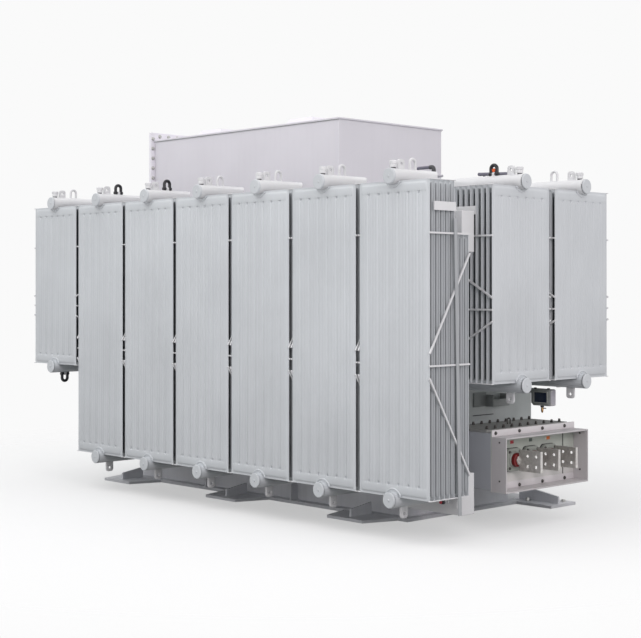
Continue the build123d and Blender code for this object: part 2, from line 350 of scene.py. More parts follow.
def noise(tree, scale, detail=4.0, stretch=None):
    """Noise over the position in space, stretched along an axis where asked."""
    spot = position(tree)
    if stretch:
        spot = add_node(tree, "Mapping", Vector=spot, Scale=stretch).outputs["Vector"]
    return add_node(tree, "TexNoise", Vector=spot, Scale=scale, Detail=detail).outputs["Fac"]


def ranged(value, low=0, high=1, start=0.3, end=0.7):
    """A value taken from the range start to end over to the range low to high."""
    ends = {"From_Min": start, "From_Max": end, "To_Min": low, "To_Max": high}
    return add_node(value.id_data, "MapRange", Value=value, **ends).outputs["Result"]


def blended(factor, first, second):
    """Mix of two colours, each given as a value or as another node's output."""
    node = add_node(factor.id_data, "Mix", Factor=factor)
    node.data_type = "RGBA"
    for socket, colour in zip(node.inputs[6:8], (first, second)):
        feed(socket, (*colour, 1) if isinstance(colour, tuple) else colour)
    return node.outputs[2]


def scaled(colour, factor):
    return tuple(min(channel * factor, 1) for channel in colour)


def mottled(factor, colour, share):
    return blended(factor, scaled(colour, 1 - share), scaled(colour, 1 + share))


def finished(shader, tone, skin, height, strength, distance):
    """Colour, roughness and a fine bump for a shader."""
    bump = add_node(shader.id_data, "Bump", Height=height, Strength=strength, Distance=distance)
    set_inputs(shader, Base_Color=tone, Roughness=skin, Normal=bump.outputs["Normal"])


def paint(name, colour, gloss=0.42, mottle=0.05, streak=0.08, grain=0.06, inside=None, foot=None):
    """Sprayed paint: cloudy tone, faint runs and an uneven satin skin.

    inside is painted shade, the dark tone deep between the fins; foot is a paler second tone painted as
    light low on the surface, and the heights that it fades between.
    """
    run_shade = 0.72
    material, tree, shader = new_material(name)
    tone = mottled(ranged(noise(tree, scale=2.3, detail=5)), colour, mottle)
    runs = ranged(noise(tree, scale=5, detail=6, stretch=(5, 5, 0.35)), 0, streak, start=0.5, end=0.75)
    tone = blended(runs, tone, scaled(colour, run_shade))
    # Painted shade: darker deep between the fins, by the edge depth from the panel's rim
    if inside:
        depth = add_node(tree, "Attribute")
        depth.attribute_name = "edge_depth"
        tone = blended(ranged(depth.outputs["Fac"], start=0.014, end=0.03), tone, inside)
    # Painted light: paler towards the bottom, where the surface catches more light
    if foot:
        low_tone, start, end = foot
        height = add_node(tree, "SeparateXYZ", Vector=position(tree))
        tone = blended(ranged(height.outputs["Z"], start=start, end=end), low_tone, tone)
    skin = ranged(noise(tree, scale=7), gloss - 0.06, gloss + 0.08)
    finished(shader, tone, skin, noise(tree, scale=420, detail=2), strength=grain, distance=0.0006)
    return material


def metal(name, colour, rough=0.35, stretch=(1, 1, 30), worn=0.25):
    """Bare or plated metal with drawn marks and dull spots."""
    material, tree, shader = new_material(name)
    set_inputs(shader, Metallic=1)
    tone = blended(ranged(noise(tree, scale=60, detail=5)), scaled(colour, 1 - worn), colour)
    drawn = noise(tree, scale=40, detail=3, stretch=stretch)
    skin = ranged(drawn, rough - 0.1, rough + 0.15)
    finished(shader, tone, skin, drawn, strength=0.12, distance=0.0004)
    return material


def moulded(name, colour, rough=0.4, mottle=0.12, grain=0.1):
    """Plastic, resin or rubber with a fine moulded grain."""
    material, tree, shader = new_material(name)
    tone = mottled(ranged(noise(tree, scale=30)), colour, mottle)
    skin = ranged(noise(tree, scale=90, detail=3), rough - 0.06, rough + 0.08)
    finished(shader, tone, skin, noise(tree, scale=700, detail=2), strength=grain, distance=0.0004)
    return material


radiator_paint = paint("radiator_paint", light_grey)
# Fin paint carries painted shade deep between the panels
fin_paint_painted_shade = paint("fin_paint_painted_shade", light_grey, inside=fin_shade)
header_paint = paint("header_paint", (0.715, 0.715, 0.725), gloss=0.38, mottle=0.03, streak=0.05)
tank_paint = paint("tank_paint", tank_grey, streak=0.15)
enclosure_paint = paint("enclosure_paint", box_lilac, gloss=0.4, mottle=0.03)
# Base paint is paler than its own grey: painted light standing in for the bounce from the ground under the
# radiators
base_paint = paint("base_paint", (0.66, 0.665, 0.695), gloss=0.5, mottle=0.1, streak=0.25)
terminal_paint = paint("terminal_paint", terminal_pink, gloss=0.4, mottle=0.03)
# The back panel's paint grows paler towards the bottom: painted light
green_paint = paint("back_panel_paint", panel_green, gloss=0.45, mottle=0.04, foot=(panel_painted_low_light, *panel_fade))
# Rail paint: the radiator grey darkened, painted shade for the rail standing in the shade of the radiators
rail_paint_painted_shade = paint("rail_paint_painted_shade", scaled(light_grey, 0.66))
flange_paint = paint("flange_paint", scaled(box_lilac, 1.2), gloss=0.4, mottle=0.03)
trunk_paint = paint("trunk_paint", (0.425, 0.44, 0.475), streak=0.12)
cast_paint = paint("bushing_flange_paint", (0.29, 0.31, 0.28), gloss=0.4, mottle=0.04)
strip_paint = paint("strip_paint", scaled(terminal_pink, 1.23), gloss=0.4, mottle=0.03)
bracket_paint = paint("bracket_paint", scaled(tank_grey, 0.5), gloss=0.45, streak=0.15)
lid_paint = paint("trunk_lid_paint", (0.29, 0.29, 0.28), gloss=0.5, mottle=0.1)
black_steel = paint("black_shackle_paint", (0.012, 0.012, 0.016), gloss=0.32, mottle=0.2)
dark_bolt = metal("dark_bolt_steel", (0.12, 0.115, 0.11), rough=0.45)
zinc = metal("zinc_plate", (0.62, 0.62, 0.6), rough=0.38)
tin = metal("tinned_copper", (0.68, 0.66, 0.64), rough=0.46, stretch=(30, 1, 1))
bright_tin = metal("bright_hole_walls", (0.94, 0.935, 0.92), rough=0.2, worn=0.03)
brass = metal("brass_fitting", (0.62, 0.36, 0.16))
red_resin = moulded("red_resin", (0.16, 0.0035, 0.005), rough=0.32)
orange_pin = moulded("orange_pin", (0.9, 0.13, 0.02))
gasket = moulded("gasket_rubber", (0.06, 0.06, 0.065), rough=0.6)
conduit_grey = moulded("conduit_grey", (0.16, 0.155, 0.2), rough=0.45)
gauge_grey = moulded("gauge_grey", (0.33, 0.345, 0.335), rough=0.45)
gauge_light = moulded("gauge_light", (0.42, 0.41, 0.45))
mark_red = moulded("mark_red", (0.45, 0.02, 0.035))
mark_green = moulded("mark_green", (0.05, 0.075, 0.06))
mark_orange = moulded("mark_orange", (0.75, 0.17, 0.02))
mark_white = moulded("mark_white", (0.62, 0.64, 0.58))
window_glass = moulded("gauge_window", (0.012, 0.02, 0.045), rough=0.12, grain=0.01)


# Radiators: modelled with the face at y = 0 looking along -Y, the middle at x = 0


def panel_lines(low, high, extra):
    """Grid lines across a panel: close together over its rim and swell, then those asked for."""
    steps = [0, rim_width, rim_width + rim_step]
    steps += [rim_width + swell_width * share for share in swell_shares] + [flat_start]
    lines = {round(low + step, 5) for step in steps} | {round(high - step, 5) for step in steps}
    inset = rim_width + swell_width + line_gap
    lines |= {round(value, 5) for value in extra if low + inset < value < high - inset}
    return sorted(lines)


def eased(value):
    value = min(max(value, 0), 1)
    return value * value * (3 - 2 * value)


def swell(x, z, bottom, top):
    """How far the sheet has risen from the welded rim, 0 on the rim and 1 on the panel's body."""
    dx = panel_half - abs(x)
    dz = min(z - bottom, top - z)
    if dx < panel_corner and dz < panel_corner:
        depth = panel_corner - math.hypot(panel_corner - dx, panel_corner - dz)
    else:
        depth = min(dx, dz)
    return eased((depth - rim_width) / swell_width)


def seam_dip(x, z, bottom, top):
    """Depth of the seam valleys between the flutes, deepest at their ends."""
    reach = min(z - bottom, top - z) - seam_end
    slot = round((x + panel_half) / seam_pitch)
    if reach <= -end_wall_start or slot in (0, seam_slots):
        return 0
    offset = abs(x + panel_half - slot * seam_pitch)
    inside = eased((reach + end_wall_start) / end_wall_length)
    near_end = 1 - eased((reach - tick_length) / tick_fade)
    shallow = slot % seams_per_flute
    half, depth = shallow_seam if shallow else deep_seam
    more_half, more_depth = shallow_tick if shallow else deep_tick
    return inside * (depth + more_depth * near_end) * (1 - eased(offset / (half + more_half * near_end)))


def panel(bottom, top, depth, half, fluted, open_back=False):
    """Closed pressed panel: two sheets that swell apart from a thin welded rim."""
    columns, rows = [], []
    if fluted:
        for slot in range(1, seam_slots):
            middle = -panel_half + slot * seam_pitch
            spread = shallow_columns if slot % seams_per_flute else deep_columns
            columns += [middle + sign * step for step in spread for sign in (-1, 1)]
        for step in seam_rows:
            rows += [bottom + seam_end + step, top - seam_end - step]
    columns = panel_lines(-panel_half, panel_half, columns)
    rows = panel_lines(bottom, top, rows)
    # depths hold each point's distance from the rim, which the fin paint turns into painted shade between
    # the panels
    verts, depths = [], []
    for side in (-1, 1):
        for z in rows:
            for x in columns:
                rise = rim_half + (half - rim_half) * swell(x, z, bottom, top)
                if fluted and side < 0:
                    rise -= seam_dip(x, z, bottom, top)
                verts.append((x, depth + side * rise, z))
                depths.append(min(panel_half - abs(x), z - bottom, top - z))
    faces = grid_faces(len(rows), len(columns))
    paints = [radiator_paint if fluted else fin_paint_painted_shade] * len(faces)
    back = len(rows) * len(columns)
    faces += [tuple(back + index for index in reversed(face)) for face in faces]
    paints += [radiator_paint if open_back else fin_paint_painted_shade] * len(paints)
    across = len(columns)
    border = [*range(across), *range(2 * across - 1, back, across),
              *range(back - 2, back - across - 1, -1), *range(back - 2 * across, 0, -across)]
    for first, second in zip(border, border[1:] + border[:1]):
        faces.append((first, back + first, back + second, second))
    paints += [fin_paint_painted_shade] * (len(faces) - len(paints))
    return (verts, faces), paints, Matrix(), depths


def straight_pipe(start, end, z):
    return sweep([(0, start, z), (0, end, z)], pipe_radius, pipe_sides)


def entry_height(top):
    """Where a bent header comes in behind the lower panels, from the height of its upper run."""
    return top - header_rise - inner_panel_drop + entry_gap + pipe_radius


def bent_pipe(start, drop, end, top):
    """Upper header that goes back, drops behind the panels and goes on to its collector or the tank."""
    entry = entry_height(top)
    path = [(0, start, top), (0, drop, top), (0, drop, entry), (0, end, entry)]
    return sweep(path, pipe_radius, pipe_sides)


def header_cap(mesh, z):
    """Flat end plate of a header, with a bead round it and a small plug in its middle."""
    bead = [(0, -0.01), (0, -0.003), (0.002, 0.0002), (0.004, 0.0005), (0.005, 0.0015)]
    plug = [(0.007, 0.0015), (0.006, 0.0045), (0, 0.0045)]
    profile = [(pipe_radius - inset, height) for inset, height in bead] + plug
    mesh.add(lathe(profile, pipe_sides), place=turned((0, -1, 0), (0, -cap_reach, z)))


def collar(z, sign, panel_edge):
    """Half ring pressed into the front panel round a header; sign is -1 below the header, 1 above it."""
    radius, bead, end_gap = 0.0605, 0.0045, 0.12
    reach = math.degrees(math.asin(abs(z - panel_edge) / radius) + end_gap)
    ring = arc(0, 0, radius, reach, 180 - reach, 24)
    return sweep([(x, 0, z + sign * rise) for x, rise in ring], bead, 8)


def radiator_mesh(name, box_low, box_high, short):
    """The panels and the two headers of one radiator, from the box of its node."""
    header_top, header_low = box_high.z - pipe_radius, box_low.z + pipe_radius
    top, bottom = header_top - header_rise, header_low + header_sink
    mesh = Mesh(radiator_paint, header_paint, fin_paint_painted_shade)
    mesh.add(*panel(bottom, top, panel_offset, body_half, True))
    for index in range(1, panel_count):
        full = short or index < full_panels
        depth = panel_offset + index * panel_pitch
        reach = top if full else top - inner_panel_drop
        open_back = index == panel_count - 1 or (not short and index == full_panels - 1)
        mesh.add(*panel(bottom, reach, depth, inner_body_half, False, open_back))
    start, end = cap_overlap - cap_reach, box_high.y - box_low.y - cap_reach
    if short:
        mesh.add(straight_pipe(start, end, header_top), header_paint)
    else:
        drop = (panels_end + collector_depth) / 2
        mesh.add(bent_pipe(start, drop, collector_depth, header_top), header_paint)
    mesh.add(straight_pipe(start, end, header_low))
    for z, sign, edge in ((header_top, -1, top), (header_low, 1, bottom)):
        header_cap(mesh, z)
        mesh.add(collar(z, sign, edge))
    return mesh.data(name, sharp=40)


def bar_shape(start, end, thick, wide):
    """Flat bar between two points in the plane of a radiator's side."""
    edge = 0.0015
    start, end = Vector(start), Vector(end)
    along = end - start
    shape = box((-thick / 2, 0, -wide / 2), (thick / 2, along.length, wide / 2), edge)
    turn = Vector((0, 1, 0)).rotation_difference(along).to_matrix().to_4x4()
    return [moved(*start) @ turn @ v for v in shape[0]], shape[1]


def brace_mesh(short):
    """Ties, sloping bars and corner strips on both sides of one radiator."""
    bar, bar_gap, tie_start = 0.009, 0.0053, 0.002
    strip, strip_gap, strip_inset = (0.018, 0.0045), 0.003, 0.001
    upper_drop, middle_drop = 0.287, 0.702 if short else 0.996
    slope_start = 0.066
    slope_rise, slope_run = (0.11, 0.19) if short else (0.54, stack_depth)
    middle = panel_top - middle_drop
    strips = [(panel_top - strip_inset, stack_depth if short else panels_end),
              (low_header[short] + header_sink + strip_inset, stack_depth)]
    mesh = Mesh(header_paint)
    for side in (-1, 1):
        x = side * (panel_half + bar_gap)
        for z in (panel_top - upper_drop, middle):
            mesh.add(bar_shape((x, tie_start, z), (x, stack_depth, z), bar, bar))
        for sign in (-1, 1):
            start = middle + sign * slope_start
            mesh.add(bar_shape((x, 0, start), (x, slope_run, start + sign * slope_rise), bar, bar))
        x = side * (panel_half + strip_gap)
        for z, end in strips:
            mesh.add(bar_shape((x, strip_inset, z), (x, end, z), *strip))
    return mesh.data("braces")


# Fittings on the headers

fitting_sink = 0.002
front_depths = (0.003, 0.062, 0.157)
end_depths = (0.017, 0.077, 0.205)
low_depth = 0.085


def vent_plug(mesh, place):
    """Round plug under a hexagon head, on a dark neck."""
    neck = [(0.014, -0.004), (0.014, 0.006)]
    body = [(0.0185, 0.006), (0.0195, 0.008), (0.0195, 0.022), (0.0175, 0.025)]
    head = [(0.021, 0.025), (0.0225, 0.0265), (0.0225, 0.041), (0.018, 0.0445), (0, 0.0455)]
    mesh.add(lathe(neck, 20), gasket, place)
    mesh.add(lathe(body), place=place)
    mesh.add(lathe(head, hexagon), place=place)


def plate_lug(mesh, place, width=0.052, height=0.054, hole=0.009):
    """Lifting plate across X with a hole near its free end."""
    root, thickness, corner, hole_drop = 0.012, 0.012, 0.018, 0.014
    shape = plate(round_top(width, height + root, corner), [(0, height - hole_drop, hole)], thickness)
    mesh.add(shape, place=place @ moved(0, 0, -root) @ upright)


def hoop(width, height, start, steps=16):
    """Points of an upside-down U in the YZ plane, straight up from the height start."""
    half = width / 2
    bow = arc(0, height - half, half, 180, 0, steps)
    return [(0, -half, start), *((0, y, z) for y, z in bow), (0, half, start)]


def eye(mesh, place, width=0.044, height=0.06, root=-0.006, wire=0.008):
    mesh.add(sweep(hoop(width, height, root), wire, 12), place=place)


def shackle(mesh, place):
    """Black bow shackle on its small lug, with its pin across."""
    width, height, start, wire = 0.044, 0.064, 0.006, 0.0105
    lug_size, lug_corner, lug_thickness, lug_sink = 0.03, 0.013, 0.016, 0.008
    pin_height = 0.012
    boss = [(0.011, -0.011), (0.0125, -0.009), (0.0125, 0.009), (0.011, 0.011)]
    pin = [(0.006, -0.034), (0.007, -0.032), (0.007, 0.032), (0.006, 0.034)]
    lug = plate(round_top(lug_size, lug_size, lug_corner), [], lug_thickness)
    mesh.add(lug, place=place @ moved(0, 0, -lug_sink) @ upright)
    mesh.add(sweep(hoop(width, height, start), wire, 14), black_steel, place)
    for side in (-1, 1):
        mesh.add(lathe(boss, 16), black_steel, place @ turned((0, 1, 0), (0, side * width / 2, pin_height)))
    mesh.add(lathe(pin, 12), black_steel, place @ turned((0, 1, 0), (0, 0, pin_height)))


def fitting_mesh(name, header_low, depths, top_shackle=False, orange=False, low_shackle=False):
    """Vent plug, lug and eye or shackle on the top header, lug or shackle under the bottom one."""
    button, button_height = [(0.011, -0.004), (0.012, 0), (0.011, 0.004)], 0.034
    crown = header_z + pipe_radius - fitting_sink
    plug, lug, ring = (moved(0, depth, crown) for depth in depths)
    mesh = Mesh(header_paint, gasket, black_steel, orange_pin)
    vent_plug(mesh, plug)
    plate_lug(mesh, lug)
    if top_shackle:
        shackle(mesh, ring)
        if orange:
            mesh.add(lathe(button, 16), orange_pin, ring @ turned((1, 0, 0), (0, 0, button_height)))
    else:
        eye(mesh, ring)
    under = moved(0, low_depth, header_low - pipe_radius + fitting_sink) @ spun(180, "X")
    if low_shackle:
        shackle(mesh, under)
    else:
        plate_lug(mesh, under, width=0.056, height=0.066, hole=0.0095)
    return mesh.data(name)


radiator_meshes = {
    "short": radiator_mesh("short_radiator", *short_box, True),
    "tall": radiator_mesh("tall_radiator", *tall_box, False),
    "overhung": radiator_mesh("overhung_radiator", *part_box("front_radiator_7"), False),
}
brace_meshes = {short: brace_mesh(short) for short in (False, True)}


def radiator_place(node):
    """Placement of a radiator, which looks along -Y at the front, +Y at the rear and +X at the end."""
    low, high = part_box(node)
    middle = (low + high) / 2
    if node.startswith("front"):
        return moved(middle.x, low.y + cap_reach, 0)
    if node.startswith("rear"):
        return moved(middle.x, high.y - cap_reach, 0) @ spun(180, "Z")
    return moved(high.x - cap_reach, middle.y, 0) @ spun(90, "Z")


def add_radiator(node, kind, depths, **hardware):
    """One dressed radiator: body, bracing and header fittings."""
    short = kind == "short"
    place = radiator_place(node)
    piece(node + "_body", radiator_meshes[kind], place, [node])
    piece(node + "_bracing", brace_meshes[short], place)
    fittings = fitting_mesh(node + "_fittings", low_header[short], depths, **hardware)
    piece(node + "_fittings", fittings, place)


kinds = ["short"] + ["tall"] * 5 + ["overhung"]
for number, kind in enumerate(kinds, 1):
    for bank in ("front", "rear"):
        front = bank == "front"
        add_radiator(f"{bank}_radiator_{number}", kind, front_depths, top_shackle=front and number in (2, 3),
                     low_shackle=front and kind == "short")
for number in (1, 2):
    add_radiator(f"end_radiator_{number}", "short", end_depths, top_shackle=number == 1, orange=number == 1)


# Pipes from the short radiators to the tank


def tank_pipe_mesh(name, wall):
    """Bent upper pipe and straight lower pipe, with a welded flange where each meets the tank."""
    flange = [(0.07, 0), (0.07, 0.012), (0.067, 0.015), (0.045, 0.015)]
    low_z = low_header[True]
    mesh = Mesh(radiator_paint, header_paint)
    mesh.add(bent_pipe(stack_depth, (stack_depth + wall) / 2, wall, header_z), header_paint)
    mesh.add(straight_pipe(stack_depth, wall, low_z))
    for z in (entry_height(header_z), low_z):
        mesh.add(lathe(flange, pipe_sides), place=turned((0, -1, 0), (0, wall, z)))
    return mesh.data(name)


side_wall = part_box("front_tank_pipes")[1].y - short_box[0].y - cap_reach
side_pipes = tank_pipe_mesh("side_tank_pipes", side_wall)
for bank in ("front", "rear"):
    place = radiator_place(f"{bank}_radiator_1")
    piece(f"{bank}_pipe_run", side_pipes, place, [f"{bank}_tank_pipes"])
end_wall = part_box("end_radiator_1")[1].x - cap_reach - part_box("end_tank_pipes")[0].x
end_pipes = tank_pipe_mesh("end_tank_pipes_mesh", end_wall)
for number in (1, 2):
    place = radiator_place(f"end_radiator_{number}")
    piece(f"end_pipe_run_{number}", end_pipes, place, ["end_tank_pipes"])


# Bolts


def bolt(mesh, axis, origin, across, height, material=None):
    """Hexagon head on a washer, pointing along an axis from its seat."""
    radius = across / 2
    washer = [(radius * 1.45, -0.001), (radius * 1.45, 0.0015), (radius * 1.35, 0.002)]
    head = [(radius * 1.15, 0.001), (radius * 1.15, height * 0.8), (radius * 0.9, height)]
    place = turned(axis, origin)
    mesh.add(lathe(washer, 18), material, place)
    mesh.add(lathe(head, hexagon), material, place)


def stud(mesh, origin):
    """Upright stud with its nut and washer."""
    washer = [(0.01, -0.001), (0.01, 0.002)]
    nut = [(0.0088, 0.002), (0.009, 0.003), (0.009, 0.0105), (0.008, 0.0115)]
    tip = [(0.0068, 0.0115), (0.0068, 0.0175), (0.006, 0.019)]
    for profile, sides in ((washer, 18), (nut, hexagon), (tip, 12)):
        mesh.add(lathe(profile, sides), place=moved(*origin))


# Low-voltage terminal box

lv_low, lv_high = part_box("lv_frame")
back_x, back_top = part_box("lv_back_panel")[1].xz


def terminal_strips():
    """Pale strips on the back panel with their bolts, and the bolts of the side plates."""
    frame_wall, edge, hair = 0.008, 0.001, 0.0005
    strip_face, foot_top = back_x + 0.003, lv_low.z + 0.047
    seam_y, seam_gap = lv_high.y - 0.1115, 0.007
    strip_bolt, outer_bolt, inner_bolt = (0.015, 0.008), (0.007, 0.004), (0.008, 0.005)
    bolt_start, bolt_pitch, bolt_count = 0.0325, 0.218, 4
    upper_rise, foot_rise, side_rises = 0.02, 0.021, (0.068, 0.288)
    outer_x, inner_x = back_x + 0.058, back_x + 0.05
    inner, inner_top = lv_high.y - frame_wall, lv_high.z - frame_wall
    mesh = Mesh(strip_paint, dark_bolt, gasket, green_paint)
    mesh.add(box((back_x, lv_low.y, lv_high.z + hair), (strip_face, lv_high.y, back_top), edge))
    mesh.add(box((back_x, -inner, lv_low.z + frame_wall), (strip_face, inner, foot_top), edge))
    mesh.add(box((back_x, seam_y, foot_top + edge), (strip_face, inner, inner_top), edge), green_paint)
    mesh.add(box((back_x, seam_y - seam_gap, foot_top), (back_x + hair, seam_y, inner_top), 0), gasket)
    for index in range(bolt_count):
        y = lv_low.y + bolt_start + bolt_pitch * index
        bolt(mesh, (1, 0, 0), (strip_face, y, lv_high.z + upper_rise), *strip_bolt, dark_bolt)
        if index:
            bolt(mesh, (1, 0, 0), (strip_face, y, lv_low.z + foot_rise), *strip_bolt, dark_bolt)
    for rise in side_rises:
        z = lv_low.z + rise
        bolt(mesh, (0, -1, 0), (outer_x, lv_low.y, z), *outer_bolt, dark_bolt)
        bolt(mesh, (0, 1, 0), (outer_x, lv_high.y, z), *outer_bolt, dark_bolt)
        bolt(mesh, (0, -1, 0), (inner_x, inner, z), *inner_bolt, dark_bolt)
    return mesh.data("terminal_strips")


def phase_tags():
    """Plain colour tags over the bushings, each with a pale half."""
    low, high = lv_low.z + 0.264, lv_low.z + 0.283
    pale, coloured, edge = 0.014, 0.032, 0.0004
    pale_face, coloured_face = back_x + 0.0015, back_x + 0.002
    mesh = Mesh(mark_red, mark_green, mark_orange, mark_white)
    for start, colour in ((-0.24, mark_red), (-0.066, mark_green), (0.104, mark_orange)):
        middle = start + pale
        mesh.add(box((back_x, start, low), (pale_face, middle, high), edge), mark_white)
        mesh.add(box((back_x, middle, low), (coloured_face, middle + coloured, high), edge), colour)
    return mesh.data("phase_tags")


def bushing_mesh():
    """Cast flange with its bolts, red insulator ring and tinned stem, along +Z."""
    seat = plate(rounded_square(0.136, 0.026), [], thickness=0.003, bevel=0.0005)
    flange = plate(rounded_square(0.132, 0.03), [], thickness=0.022, bevel=0.004)
    seat_middle, flange_middle, flange_top = 0.0015, 0.013, 0.024
    neck = [(0.05, 0.023), (0.0495, 0.028), (0.046, 0.031), (0.04, 0.031)]
    dome = [(0.04, 0.029), (0.0415, 0.032), (0.0415, 0.043), (0.039, 0.05), (0.033, 0.054), (0.024, 0.055)]
    stem = [(0.0225, 0.053), (0.023, 0.055), (0.023, 0.066)]
    nut = [(0.026, 0.055), (0.0275, 0.056), (0.0275, 0.062), (0.026, 0.063)]
    bolt_spots = (-0.047, 0.047)
    mesh = Mesh(cast_paint, red_resin, tin, dark_bolt, gasket)
    mesh.add(seat, gasket, moved(0, 0, seat_middle))
    mesh.add(flange, place=moved(0, 0, flange_middle))
    mesh.add(lathe(neck, 40))
    mesh.add(lathe(dome, 40), red_resin)
    mesh.add(lathe(stem, 32), tin)
    mesh.add(lathe(nut, hexagon), tin)
    for x in bolt_spots:
        for y in bolt_spots:
            bolt(mesh, (0, 0, 1), (x, y, flange_top), 0.012, 0.008, dark_bolt)
    return mesh.data("bushing")


piece("lv_strips", terminal_strips())
piece("lv_phase_tags", phase_tags())
bushing_shape = bushing_mesh()
for number in range(1, 4):
    node = f"lv_bushing_{number}"
    low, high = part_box(node)
    middle = (low + high) / 2
    spot = turned((1, 0, 0), (low.x, *middle.yz))
    piece(node + "_dressed", bushing_shape, spot, [node])


def lid_studs():
    """Two rows of studs along the trunk's lid, a lifting eye between them and the gasket under the lid."""
    low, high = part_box("lv_trunk_lid")
    row_inset, end_inset, count = 0.03, 0.038, 10
    lip, edge = 0.004, 0.001
    mesh = Mesh(dark_bolt, gasket)
    for x in (low.x + row_inset, high.x - row_inset):
        for index in range(count):
            y = low.y + end_inset + index * (high.y - low.y - 2 * end_inset) / (count - 1)
            stud(mesh, (x, y, high.z))
    middle = (low + high) / 2
    eye(mesh, moved(*middle.xy, high.z), width=0.026, height=0.035, root=-0.003, wire=0.0045)
    mesh.add(box((low.x - lip, low.y + lip, low.z - lip),
                 (high.x + lip, high.y - lip, low.z + edge), edge), gasket)
    return mesh.data("lid_studs")


piece("lv_lid_studs", lid_studs())


# Gauge beside the terminal box

gauge_low, gauge_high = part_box("gauge")
gauge_width = 0.143
arm_thickness = 0.008
arm_height = 0.03


def gauge_mesh():
    """Instrument case with a dark window, a pale side cover, clips, a brass drain and its bracket arm."""
    left, right = gauge_high.x - gauge_width, gauge_high.x
    low, high = gauge_low.z, gauge_high.z
    front, back = gauge_low.y, gauge_high.y - arm_thickness
    middle, depth_middle = (left + right) / 2, (front + back) / 2
    mesh = Mesh(gauge_grey, window_glass, gauge_light, zinc, gasket, brass, tank_paint)
    mesh.add(box((gauge_low.x, back, high - arm_height), (middle, gauge_high.y, high), 0.001), tank_paint)

    cut, nick, set_back = 0.016, 0.006, 0.004
    outline = [(left + cut, low), (right - nick, low), (right, low + nick), (right, high - nick),
               (right - nick, high), (left + cut, high), (left, high - cut), (left, low + cut)]
    stand = moved(0, depth_middle + set_back / 2, 0) @ spun(90, "X")
    mesh.add(plate(outline, [], back - front - set_back, bevel=0.004), place=stand)

    x0, x1, z0, z1 = middle - 0.042, middle + 0.05, low + 0.022, high - 0.019
    rim, rim_edge = 0.007, 0.0015
    rim_front, rim_back, glass_front, glass_back = front - 0.004, front + 0.004, front - 0.001, front + 0.003
    for z in (z0 - rim, z1):
        mesh.add(box((x0 - rim, rim_front, z), (x1 + rim, rim_back, z + rim), rim_edge))
    for x in (x0 - rim, x1):
        mesh.add(box((x, rim_front, z0), (x + rim, rim_back, z1), rim_edge))
    mesh.add(box((x0, glass_front, z0), (x1, glass_back, z1), 0.0005), window_glass)

    cover_face, cover_inset = right + 0.004, 0.003
    mesh.add(box((right - 0.001, front + 0.008, low + cover_inset),
                 (cover_face, back - 0.004, high - cover_inset)), gauge_light)
    for z in (low + 0.012, high - 0.012):
        bolt(mesh, (1, 0, 0), (cover_face, front + 0.014, z), 0.006, 0.003, zinc)
    clip = box((-0.006, 0.008, -0.002), (0.006, 0.024, 0.008))
    for x in (left + 0.024, right - 0.02):
        mesh.add(clip, gasket, moved(x, front, high))

    nut = [(0.011, -0.011), (0.012, -0.009), (0.012, 0.002)]
    tap = [(0.003, -0.044), (0.006, -0.04), (0.0085, -0.022), (0.006, -0.01)]
    handle = [(0, 0, -0.016), (0.028, 0, -0.016)]
    drain = moved(middle - 0.006, depth_middle, low)
    mesh.add(lathe(nut, hexagon), gasket, drain)
    mesh.add(lathe(tap, 16), brass, drain)
    mesh.add(sweep(handle, 0.003, 8), gasket, drain)
    return mesh.data("gauge")


piece("gauge_dressed", gauge_mesh(), replaces=["gauge"])


# Tank end wall, base and cover hardware

tank_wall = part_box("tank_body")[1].x
cover_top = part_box("tank_cover")[1].z


def wall_bracket():
    """Open pocket welded to the tank's end wall, with a flat plate beside it and a ledge below."""
    root, ledge_face, plate_face, reach = (tank_wall + step for step in (-0.001, 0.006, 0.012, 0.07))
    start, plate_end, ledge_end = -0.03, 0.085, 0.162
    pocket_start, pocket_end, sheet = 0.08, 0.241, 0.008
    inner_start, inner_end = pocket_start + sheet / 2, pocket_end - sheet / 2
    low = gauge_low.z - 0.019
    floor_top, side_top, plate_top = low + 0.009, low + 0.073, low + 0.087
    lip_low, lip_top, ledge_low, ledge_top = low + 0.005, low + 0.045, low - 0.055, low - 0.05
    mesh = Mesh(bracket_paint, gasket)
    mesh.add(box((root, start, low), (plate_face, plate_end, plate_top)))
    for y in (pocket_start, pocket_end - sheet):
        mesh.add(box((root, y, low), (reach, y + sheet, side_top)))
    mesh.add(box((root, inner_start, low), (reach, inner_end, floor_top)))
    mesh.add(box((reach - sheet, inner_start, lip_low), (reach, inner_end, lip_top)))
    mesh.add(box((root, start, ledge_low), (ledge_face, ledge_end, ledge_top), 0.001), gasket)
    return mesh.data("wall_bracket")


def base_hardware():
    """Drain valve with a red cap and a pale plate on the front duct, bolts on the end foot."""
    low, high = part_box("front_lower_duct")
    base_high, foot_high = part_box("base_frame")[1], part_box("end_foot")[1]
    foot_plate = 0.018
    valve = turned((0, -1, 0), (high.x - 0.115, low.y, low.z + 0.068))
    neck = [(0.02, -0.001), (0.02, 0.006), (0.011, 0.008), (0.011, 0.022)]
    nut = [(0.013, 0.021), (0.014, 0.023), (0.014, 0.034), (0.012, 0.036)]
    cap = [(0.004, 0.035), (0.004, 0.044), (0.008, 0.045), (0.009, 0.049), (0.007, 0.052)]
    mesh = Mesh(header_paint, mark_red, zinc, gasket)
    mesh.add(lathe(neck), place=valve)
    mesh.add(lathe(nut, hexagon), gasket, valve)
    mesh.add(lathe(cap, 16), mark_red, valve)
    mesh.add(box((high.x - 0.062, low.y - 0.004, low.z + 0.037),
                 (high.x - 0.03, low.y + 0.001, low.z + 0.085), 0.001))
    bolt(mesh, (0, 0, 1), (base_high.x + 0.03, base_high.y + 0.03, foot_plate), 0.024, 0.02, zinc)
    for x in (base_high.x + 0.05, foot_high.x - 0.06):
        bolt(mesh, (0, 0, 1), (x, foot_high.y - 0.05, foot_plate), 0.026, 0.014, zinc)
    return mesh.data("base_hardware")


